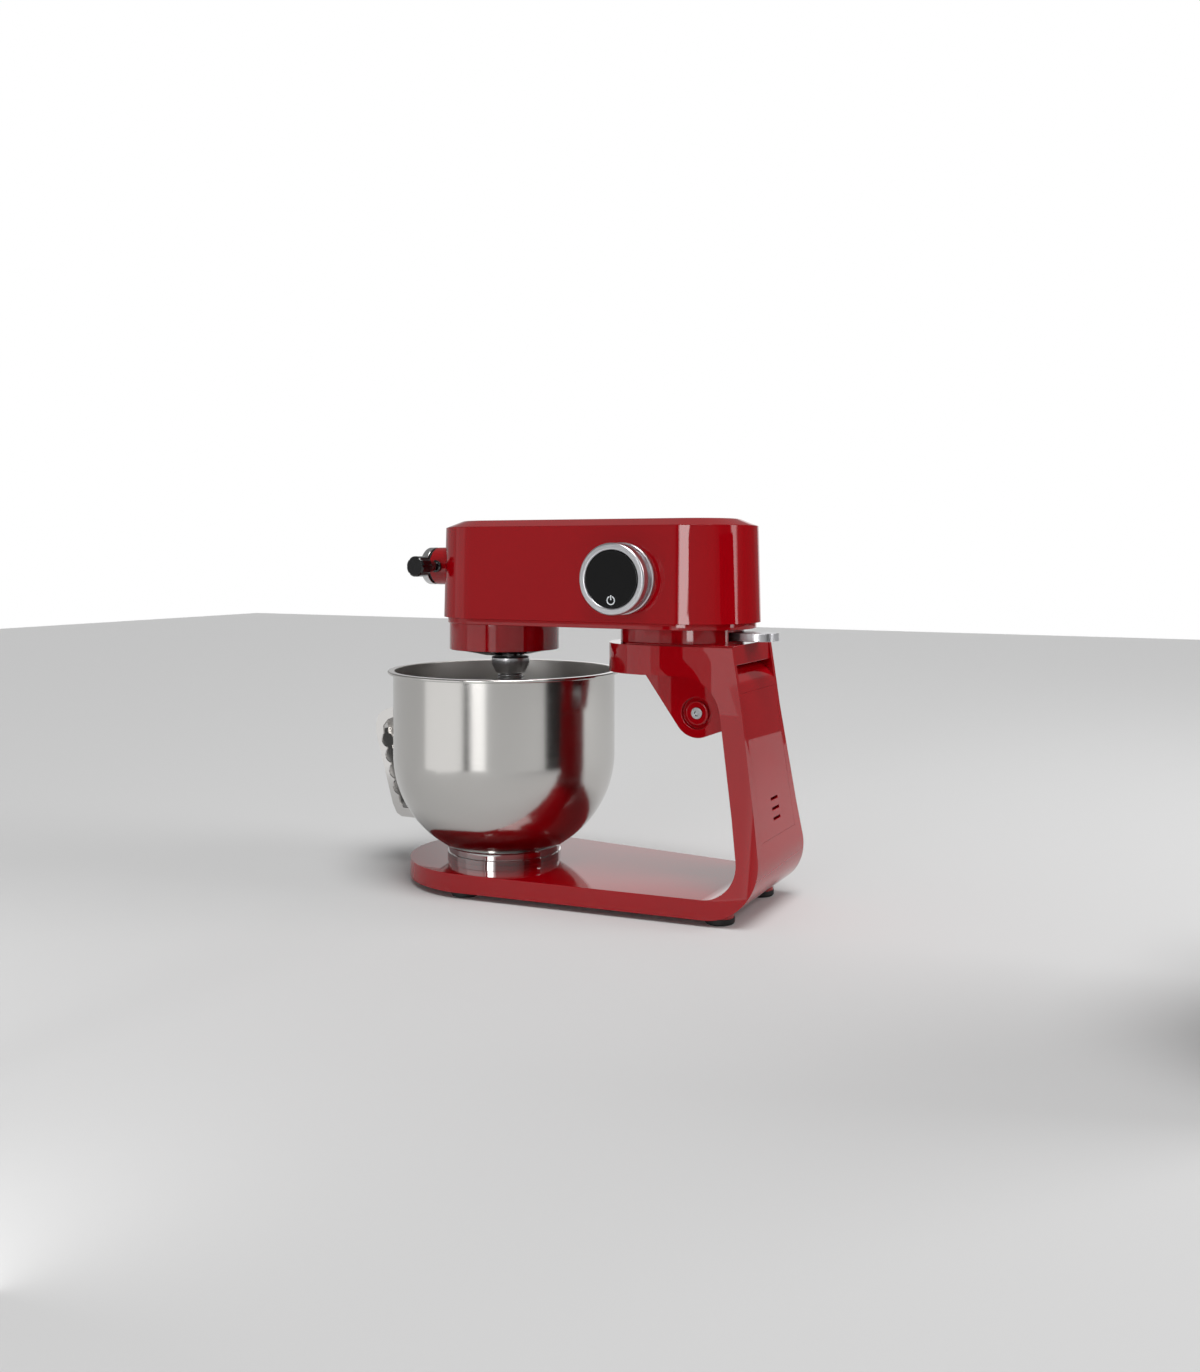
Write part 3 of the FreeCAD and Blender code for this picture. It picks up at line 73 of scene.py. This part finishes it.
def finish_named(name):
    """An empty material with its output and its coordinates."""
    made = bpy.data.materials.new(name)
    made.use_nodes = True
    made.node_tree.nodes.clear()
    tree = made.node_tree
    return made, tree, add(tree, "ShaderNodeTexCoord"), add(tree, "ShaderNodeOutputMaterial")


def surface(tree, output, shader):
    tree.links.new(shader.outputs["BSDF"], output.inputs["Surface"])


def deselect():
    if bpy.context.object and bpy.context.object.mode != "OBJECT":
        bpy.ops.object.mode_set(mode="OBJECT")
    bpy.ops.object.select_all(action="DESELECT")


def pick(obj):
    deselect()
    obj.select_set(True)
    bpy.context.view_layer.objects.active = obj


def settle(obj):
    """Put an object's place into its mesh."""
    pick(obj)
    bpy.ops.object.transform_apply(location=True, rotation=True, scale=True)
    return obj


def smooth(obj, angle=35):
    pick(obj)
    bpy.ops.object.shade_smooth_by_angle(angle=math.radians(angle))
    return obj


def bevel(obj, width, segments=3, angle=30):
    """Rounded edges, as a casting, a pressing or a moulding has."""
    pick(obj)
    tool = obj.modifiers.new("edge", "BEVEL")
    tool.width = width * MM
    tool.segments = segments
    tool.limit_method = "ANGLE"
    tool.angle_limit = math.radians(angle)
    tool.harden_normals = False
    tool.use_clamp_overlap = True
    bpy.ops.object.modifier_apply(modifier=tool.name)
    return obj


def even_shade(obj):
    """Normals weighted by face size, so that a flat face beside a rounded edge stays flat."""
    pick(obj)
    tool = obj.modifiers.new("shade", "WEIGHTED_NORMAL")
    tool.keep_sharp = True
    bpy.ops.object.modifier_apply(modifier=tool.name)
    return obj


def round_chosen(obj, chosen, width, segments=4):
    """Round the sharp edges whose two ends both pass the test."""
    pick(obj)
    bpy.ops.object.mode_set(mode="EDIT")
    bpy.ops.mesh.select_mode(type="EDGE")
    bpy.ops.mesh.select_all(action="DESELECT")
    bpy.ops.mesh.edges_select_sharp(sharpness=math.radians(30))
    bpy.ops.object.mode_set(mode="OBJECT")
    points = obj.data.vertices
    for edge in obj.data.edges:
        edge.select = edge.select and all(chosen(points[i].co) for i in edge.vertices)
    for point in points:
        point.select = False
    for face in obj.data.polygons:
        face.select = False
    bpy.ops.object.mode_set(mode="EDIT")
    bpy.ops.mesh.bevel(offset=width * MM, segments=segments, affect="EDGES", clamp_overlap=True)
    bpy.ops.object.mode_set(mode="OBJECT")
    return obj


def merged_copy(node, name, merge=1e-5):
    """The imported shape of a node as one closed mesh."""
    source = nodes[node]
    obj = source.copy()
    obj.data = source.data.copy()
    obj.name = name
    for key in list(obj.keys()):
        del obj[key]
    obj.parent = None
    bpy.context.scene.collection.objects.link(obj)
    obj.data.materials.clear()
    pick(obj)
    bpy.ops.object.mode_set(mode="EDIT")
    bpy.ops.mesh.select_all(action="SELECT")
    bpy.ops.mesh.remove_doubles(threshold=merge)
    bpy.ops.mesh.dissolve_limited(angle_limit=math.radians(0.5))
    bpy.ops.object.mode_set(mode="OBJECT")
    if obj.data.has_custom_normals:
        bpy.ops.mesh.customdata_custom_splitnormals_clear()
    return obj


def settled(obj, node, material, body):
    """Shade a copy, give it its finish and put it in its node's place."""
    smooth(obj)
    even_shade(obj)
    obj.data.materials.append(material)
    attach(obj, body)
    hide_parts(node)
    return obj


def traced(node, name, material, body, width=0.0, segments=3, angle=30):
    """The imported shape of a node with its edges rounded, in place of the node."""
    obj = merged_copy(node, name)
    if width:
        bevel(obj, width, segments, angle)
    return settled(obj, node, material, body)


# ------------------------------------------------------------------ finishes
def gloss_paint():
    # Aluminium casting, powder coated red under clear lacquer: deep colour under a mirror-like skin,
    # with a faint orange peel about 2 mm across.
    made, tree, place, output = finish_named("gloss red lacquered casting")
    peel = add(tree, "ShaderNodeTexNoise", {"Scale": 480.0, "Detail": 2.0}, {"Vector": (place, "Object")})
    bump = add(tree, "ShaderNodeBump", {"Strength": 0.02, "Distance": 0.0003}, {"Height": (peel, "Fac")})
    drift = add(tree, "ShaderNodeTexNoise", {"Scale": 14.0, "Detail": 3.0}, {"Vector": (place, "Object")})
    tone = add(tree, "ShaderNodeMix", {"data_type": "RGBA"}, {"Factor": (drift, "Fac")})
    tone.inputs[COLOUR_A].default_value = linear("#94000A")
    tone.inputs[COLOUR_B].default_value = linear("#A0010D")
    shader = add(tree, "ShaderNodeBsdfPrincipled", {"Roughness": 0.4, "Metallic": 0.0, "Coat Weight": 1.0,
                 "Coat Roughness": 0.02, "Specular IOR Level": 0.0}, {"Normal": (bump, "Normal")})
    tree.links.new(tone.outputs[COLOUR_OUT], shader.inputs["Base Color"])
    surface(tree, output, shader)
    return made


def brushed(name, colour, rough, lines, strength, aniso):
    # Stainless steel brushed round the piece: fine level lines, drawn about 0.6 mm apart so that they
    # show, pull each highlight out up and down and leave it sharp from side to side.
    made, tree, place, output = finish_named(name)
    way = add(tree, "ShaderNodeMapping", {"Scale": (9.0, 9.0, lines)}, {"Vector": (place, "Object")})
    grain = add(tree, "ShaderNodeTexNoise", {"Scale": 1.0, "Detail": 4.0, "Roughness": 0.7},
                {"Vector": (way, "Vector")})
    spread = add(tree, "ShaderNodeMapRange", {"To Min": rough - 0.05, "To Max": rough + 0.08},
                 {"Value": (grain, "Fac")})
    bump = add(tree, "ShaderNodeBump", {"Strength": strength, "Distance": 0.0001}, {"Height": (grain, "Fac")})
    # the inside, whose faces look back at the middle of the mouth, keeps a coarser satin brushing
    spot = add(tree, "ShaderNodeNewGeometry")
    out = add(tree, "ShaderNodeVectorMath", {"operation": "SUBTRACT", 1: (BOWL_AXIS * MM, 0, 0.2)},
              {0: (place, "Object")})
    facing = add(tree, "ShaderNodeVectorMath", {"operation": "DOT_PRODUCT"},
                 {0: (out, "Vector"), 1: (spot, "Normal")})
    inner = add(tree, "ShaderNodeMath", {"operation": "LESS_THAN", 1: 0.0}, {0: (facing, "Value")})
    satin_in = add(tree, "ShaderNodeMath", {"operation": "MULTIPLY_ADD", 1: 0.24},
                   {0: (inner, "Value"), 2: (spread, "Result")})
    round_axis = add(tree, "ShaderNodeTangent", {"direction_type": "RADIAL", "axis": "Z"})
    shader = add(tree, "ShaderNodeBsdfPrincipled", {"Base Color": linear(colour), "Metallic": 1.0,
                 "Anisotropic": aniso}, {"Normal": (bump, "Normal"), "Roughness": (satin_in, "Value"),
                 "Tangent": (round_axis, "Tangent")})
    surface(tree, output, shader)
    return made


def metal(name, colour, rough, scale=900.0, strength=0.02):
    # Satin or plated metal with a very fine grain in its sheen.
    made, tree, place, output = finish_named(name)
    grain = add(tree, "ShaderNodeTexNoise", {"Scale": scale, "Detail": 3.0}, {"Vector": (place, "Object")})
    spread = add(tree, "ShaderNodeMapRange", {"To Min": max(rough - 0.04, 0.02), "To Max": rough + 0.05},
                 {"Value": (grain, "Fac")})
    bump = add(tree, "ShaderNodeBump", {"Strength": strength, "Distance": 0.0002}, {"Height": (grain, "Fac")})
    shader = add(tree, "ShaderNodeBsdfPrincipled", {"Base Color": linear(colour), "Metallic": 1.0},
                 {"Normal": (bump, "Normal"), "Roughness": (spread, "Result")})
    surface(tree, output, shader)
    return made


def moulded(name, colour, rough, scale=1200.0, strength=0.05, coat=0.0):
    # Moulded plastic or rubber: a fine spark-eroded grain in the sheen.
    made, tree, place, output = finish_named(name)
    grain = add(tree, "ShaderNodeTexNoise", {"Scale": scale, "Detail": 2.0}, {"Vector": (place, "Object")})
    spread = add(tree, "ShaderNodeMapRange", {"To Min": max(rough - 0.05, 0.02), "To Max": rough + 0.06},
                 {"Value": (grain, "Fac")})
    bump = add(tree, "ShaderNodeBump", {"Strength": strength, "Distance": 0.0003}, {"Height": (grain, "Fac")})
    shader = add(tree, "ShaderNodeBsdfPrincipled", {"Base Color": linear(colour), "Metallic": 0.0,
                 "Coat Weight": coat, "Coat Roughness": 0.03, "IOR": 1.5},
                 {"Normal": (bump, "Normal"), "Roughness": (spread, "Result")})
    surface(tree, output, shader)
    return made


red = gloss_paint()
bowl_steel = brushed("brushed stainless bowl steel", "#C9C7C4", 0.13, 1600.0, 0.08, 0.6)
polished = metal("polished stainless steel", "#C9C7C5", 0.09, 500.0, 0.01)
chrome = metal("bright chrome plate", "#DADADA", 0.05, 500.0, 0.004)
satin = metal("satin nickel plate", "#D2D2D5", 0.3)
steel = metal("turned steel", "#A9A9AB", 0.28)
bronze = metal("sintered bronze", "#9A6B3A", 0.4)
cast = metal("cast aluminium", "#A7A8AA", 0.35)
black = moulded("black gloss ABS", "#08080A", 0.16, coat=0.4)
matt_black = moulded("black moulded nylon", "#101012", 0.38)
rubber = moulded("black foot rubber", "#131313", 0.62, strength=0.12)
glass = moulded("black display window", "#020203", 0.06, 300.0, 0.0)
white = moulded("white printed symbol", "#E9EEF2", 0.4)
board = moulded("green circuit board", "#1C5A34", 0.35)

FINISH = {
    "red_paint": red, "black_plastic": black, "foot_rubber": rubber, "belt_rubber": rubber,
    "satin_steel": satin, "steel": steel, "satin_silver": satin, "bronze": bronze,
    "circuit_board": board, "black_glass": glass, "white_plastic": white, "aluminium_cast": cast,
    "polished_steel": polished, "chrome_plate": chrome, "brushed_bowl": bowl_steel,
}
for part in frame["record"]["subparts"]:
    mesh = nodes[part["node"]].data
    mesh.materials.clear()
    mesh.materials.append(FINISH[part["material_slot"]])

# ------------------------------------------------------------------ pieces taken from the frame


# where the frame's outer edges lie, in mm, with x counted from the bowl's axis
PLATFORM_LOW, PLATFORM_REAR = 200, 150
PLATE_HIGH, COLUMN_SIDE = 24, 46.5
NOSE_RADIUS, SIDE_TAPER, SIDE_SHARE = 91, 0.0905, 0.93


def on_outer_side(co):
    """True on the frame's outer edges, and not in its slot, recesses or hollow."""
    x, y, z = co.x / MM - BOWL_AXIS, abs(co.y) / MM, co.z / MM
    if z > PLATFORM_LOW and x < PLATFORM_REAR:
        return True
    if z > PLATE_HIGH:
        return y > COLUMN_SIDE
    if x < 0:
        return math.hypot(x, y) > NOSE_RADIUS - 2
    return y > SIDE_SHARE * (NOSE_RADIUS - SIDE_TAPER * x)


frame_casting = merged_copy("base_frame", "bent_frame")
round_chosen(frame_casting, on_outer_side, 3.2, 5)
settled(frame_casting, "base_frame", red, "stand")
# node, name, finish, body, rounding in mm, its segments and its smallest angle
TRACED = [
    ("tilt_arm", "hinge_arm", red, "head", 1.4, 3),
    ("head_shell", "head_casting", red, "head", 0.5, 2),
    ("top_cover", "head_lid", red, "head", 1.6, 4, 20),
    ("lower_tray", "head_underside", red, "head", 0.8, 3),
    ("outlet_tube", "outlet_neck", red, "head", 0.5, 2),
    ("back_cover", "rear_cover", red, "stand", 0.2, 2),
]
for side in ("left", "right"):
    TRACED.append(("hinge_cap_" + side, "hinge_button_" + side, red, "head", 0.3, 2))
    for end in ("front", "rear"):
        TRACED.append(("foot_%s_%s" % (end, side), "rubber_foot_%s_%s" % (end, side),
                       rubber, "stand", 0.5, 2))
TRACED += [
    ("bottom_cover", "underside_cover", matt_black, "stand", 0.3, 2),
    ("bowl_clamp_plate", "clamp_ring", steel, "stand", 0.3, 2),
    ("hinge_tongue", "hinge_lug", satin, "stand", 1.0, 3),
    ("cord_gland", "cord_entry", matt_black, "stand", 0.4, 2),
    ("hinge_screws", "hinge_bolts", steel, "head", 0.3, 2),
    ("release_lever", "release_paddle", satin, "lever", 3.0, 5),
    ("knob_bezel", "knob_backplate", satin, "head", 0.4, 2),
    ("knob_ring", "knob_rim", satin, "knob", 0.5, 3),
    ("display_glass", "display_window", glass, "head", 0.3, 2),
    ("outlet_gasket", "outlet_seal", matt_black, "head", 0.3, 2),
    ("outlet_cap", "outlet_lid", chrome, "outlet_plug", 0.8, 3),
    ("thumb_screw", "thumb_bolt", black, "thumb", 0.5, 3),
    ("planet_carrier", "planet_disc", black, "carrier", 0.8, 3),
    ("tool_collar", "tool_socket", satin, "beater", 0.6, 3),
    ("dough_hook", "kneading_hook", polished, "beater", 0.0),
]
for row in TRACED:
    traced(*row)


def tool_spring():
    """The coil spring under the tool socket, turned from a ring of wire."""
    wire, ring, pitch, turns, drop = 0.0009, 0.0113, 0.0026, 5, 0.0145
    low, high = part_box("tool_collar")
    deselect()
    bpy.ops.mesh.primitive_circle_add(vertices=10, radius=wire, fill_type="NOTHING",
                                      rotation=(math.radians(90), 0, 0), location=(ring, 0, 0))
    spring = settle(bpy.context.object)
    spring.name = "tool_spring"
    coil = spring.modifiers.new("coil", "SCREW")
    coil.axis, coil.angle, coil.screw_offset, coil.iterations = "Z", math.radians(360), pitch, turns
    coil.steps = coil.render_steps = 28
    bpy.ops.object.modifier_apply(modifier=coil.name)
    bpy.ops.object.mode_set(mode="EDIT")
    bpy.ops.mesh.select_all(action="SELECT")
    bpy.ops.mesh.remove_doubles(threshold=1e-6)
    # close the wire's two ends
    bpy.ops.mesh.select_all(action="DESELECT")
    bpy.ops.mesh.select_non_manifold()
    bpy.ops.mesh.edge_face_add()
    bpy.ops.mesh.select_all(action="SELECT")
    bpy.ops.mesh.normals_make_consistent(inside=False)
    bpy.ops.object.mode_set(mode="OBJECT")
    spring.location = ((low[0] + high[0]) / 2, (low[1] + high[1]) / 2, low[2] - drop)
    settle(spring)
    smooth(spring, 60)
    spring.data.materials.append(steel)
    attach(spring, "beater")


def finger_waves(grip, waves=4):
    """Hollows along the free edges of the handle strap's two flanges, from the top one down."""
    outer_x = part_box("bowl_handle")[0][0]
    for step in range(waves):
        share = (step + 0.5) / waves
        at = (outer_x + (0.0125 + 0.0185 * share), 0, 0.134 - 0.062 * share)
        deselect()
        bpy.ops.mesh.primitive_cylinder_add(vertices=48, radius=0.0078, depth=0.05, location=at,
                                            rotation=(math.radians(90), 0, 0))
        cutter = bpy.context.object
        pick(grip)
        tool = grip.modifiers.new("wave", "BOOLEAN")
        tool.operation, tool.object, tool.solver = "DIFFERENCE", cutter, "EXACT"
        bpy.ops.object.modifier_apply(modifier=tool.name)
        bpy.data.objects.remove(cutter)


tool_spring()
traced("bowl", "mixing_bowl", bowl_steel, "bowl_body", 0.25, 2)
traced("bowl_foot_ring", "bowl_foot", chrome, "bowl_body", 0.4, 2)
grip = merged_copy("bowl_handle", "bowl_grip")
finger_waves(grip)
bevel(grip, 0.45, 3)
settled(grip, "bowl_handle", polished, "bowl_body")

# ------------------------------------------------------------------ floor, light and camera
bpy.ops.mesh.primitive_plane_add(size=8, location=(0, 0, 0))
floor = bpy.context.object
floor.name = "floor"
paper, tree, place, output = finish_named("pale paper sweep")
surface(tree, output, add(tree, "ShaderNodeBsdfPrincipled",
                          {"Base Color": linear("#D6D6D6"), "Roughness": 0.8}))
floor.data.materials.append(paper)

# The studio round the machine, by direction in degrees from the front (-Y) towards the rear (+X):
# two tall soft boxes at the front and left, a narrow one at the right, a white wall behind and
# grey between them.
STUDIO = [(-180, 1.1), (-150, 1.1), (-142, 0.42), (-80, 0.3), (-76, 0.6), (-55, 0.6), (-51, 0.36),
          (-16, 0.3), (-12, 0.05), (-9, 0.05), (-6, 8.0), (7, 8.0), (9, 0.3), (55, 0.2), (70, 0.07),
          (89, 0.07), (93, 4.0), (99, 4.0), (102, 0.2), (119, 0.08), (150, 0.08), (172, 0.2), (180, 1.1)]
PEAK = 8.0                                # the brightest level, which the ramp holds as 1
world = bpy.data.worlds.new("studio")
bpy.context.scene.world = world
world.use_nodes = True
sky = world.node_tree
sky.nodes.clear()
way = add(sky, "ShaderNodeTexCoord")
split = add(sky, "ShaderNodeSeparateXYZ", None, {"Vector": (way, "Generated")})
front = add(sky, "ShaderNodeMath", {"operation": "MULTIPLY", 1: -1.0}, {0: (split, "Y")})
angle = add(sky, "ShaderNodeMath", {"operation": "ARCTAN2"}, {0: (split, "X"), 1: (front, "Value")})
around = add(sky, "ShaderNodeMapRange", {"From Min": -math.pi, "From Max": math.pi},
             {"Value": (angle, "Value")})
bands = add(sky, "ShaderNodeValToRGB", None, {"Fac": (around, "Result")})
stops = bands.color_ramp.elements
while len(stops) > 1:
    stops.remove(stops[-1])
for number, (degrees, level) in enumerate(STUDIO):
    stop = stops[0] if number == 0 else stops.new((degrees + 180) / 360)
    stop.position = (degrees + 180) / 360
    stop.color = (level / PEAK,) * 3 + (1,)
raised = add(sky, "ShaderNodeMapRange", {"From Min": 0.25, "From Max": 0.31}, {"Value": (split, "Z")})
room = add(sky, "ShaderNodeMix", {"data_type": "RGBA"}, {"Factor": (raised, "Result")})
sky.links.new(bands.outputs["Color"], room.inputs[COLOUR_A])
room.inputs[COLOUR_B].default_value = (0.03, 0.03, 0.03, 1)
ray = add(sky, "ShaderNodeLightPath")
seen = add(sky, "ShaderNodeMix", {"data_type": "RGBA"}, {"Factor": (ray, "Is Camera Ray")})
sky.links.new(room.outputs[COLOUR_OUT], seen.inputs[COLOUR_A])
seen.inputs[COLOUR_B].default_value = (1 / PEAK,) * 3 + (1,)
glow = add(sky, "ShaderNodeBackground", {"Strength": PEAK})
sky.links.new(seen.outputs[COLOUR_OUT], glow.inputs["Color"])
sky.links.new(glow.outputs["Background"], add(sky, "ShaderNodeOutputWorld").inputs["Surface"])
bpy.context.scene.view_settings.view_transform = "Standard"


def softbox(name, at, look, wide, high, power):
    lamp = bpy.data.lights.new(name, "AREA")
    lamp.shape = "RECTANGLE"
    lamp.size, lamp.size_y, lamp.energy = wide, high, power
    item = bpy.data.objects.new(name, lamp)
    bpy.context.scene.collection.objects.link(item)
    item.location = at
    item.rotation_euler = (Vector(look) - Vector(at)).to_track_quat("-Z", "Y").to_euler()


overhead = bpy.data.lights.new("overhead", "SUN")
overhead.energy, overhead.angle = 1.8, math.radians(28)
ceiling = bpy.data.objects.new("overhead", overhead)
bpy.context.scene.collection.objects.link(ceiling)
ceiling.rotation_euler = (math.radians(12), math.radians(14), 0)
softbox("card_left", (-0.36, -0.54, 0.11), (0, 0, 0.11), 0.46, 0.22, 0.15)
softbox("card_front", (0.02, -0.70, 0.11), (0, 0, 0.11), 0.16, 0.22, 0.11)


def flag(name, at, look, wide, high):
    """A black card that stands beside the machine and darkens a strip of its reflections."""
    deselect()
    bpy.ops.mesh.primitive_plane_add(size=1, location=(0, 0, 0))
    card = bpy.context.object
    card.name = name
    card.scale = (wide, high, 1)
    card.rotation_euler = (Vector(look) - Vector(at)).to_track_quat("-Z", "Y").to_euler()
    card.location = at
    settle(card)
    card.data.materials.append(matt_black)


flag("flag_front", (-0.118, -0.66, 0.11), (0, 0, 0.11), 0.05, 0.22)
flag("flag_right", (0.66, -0.13, 0.18), (0, 0, 0.18), 0.26, 0.36)
softbox("softbox_rear", (1.7, 0.5, 1.2), (0.1, 0, 0.15), 0.8, 0.8, 12)

view = bpy.data.cameras.new("camera")
view.sensor_width = 36
view.lens = 33.32
view.shift_y = -0.0977
view.clip_start = 0.05
camera = bpy.data.objects.new("camera", view)
bpy.context.scene.collection.objects.link(camera)
camera.location = (0.57725, -1.0633, 0.3165)
camera.rotation_euler = (math.radians(90), 0, math.radians(27))
bpy.context.scene.camera = camera
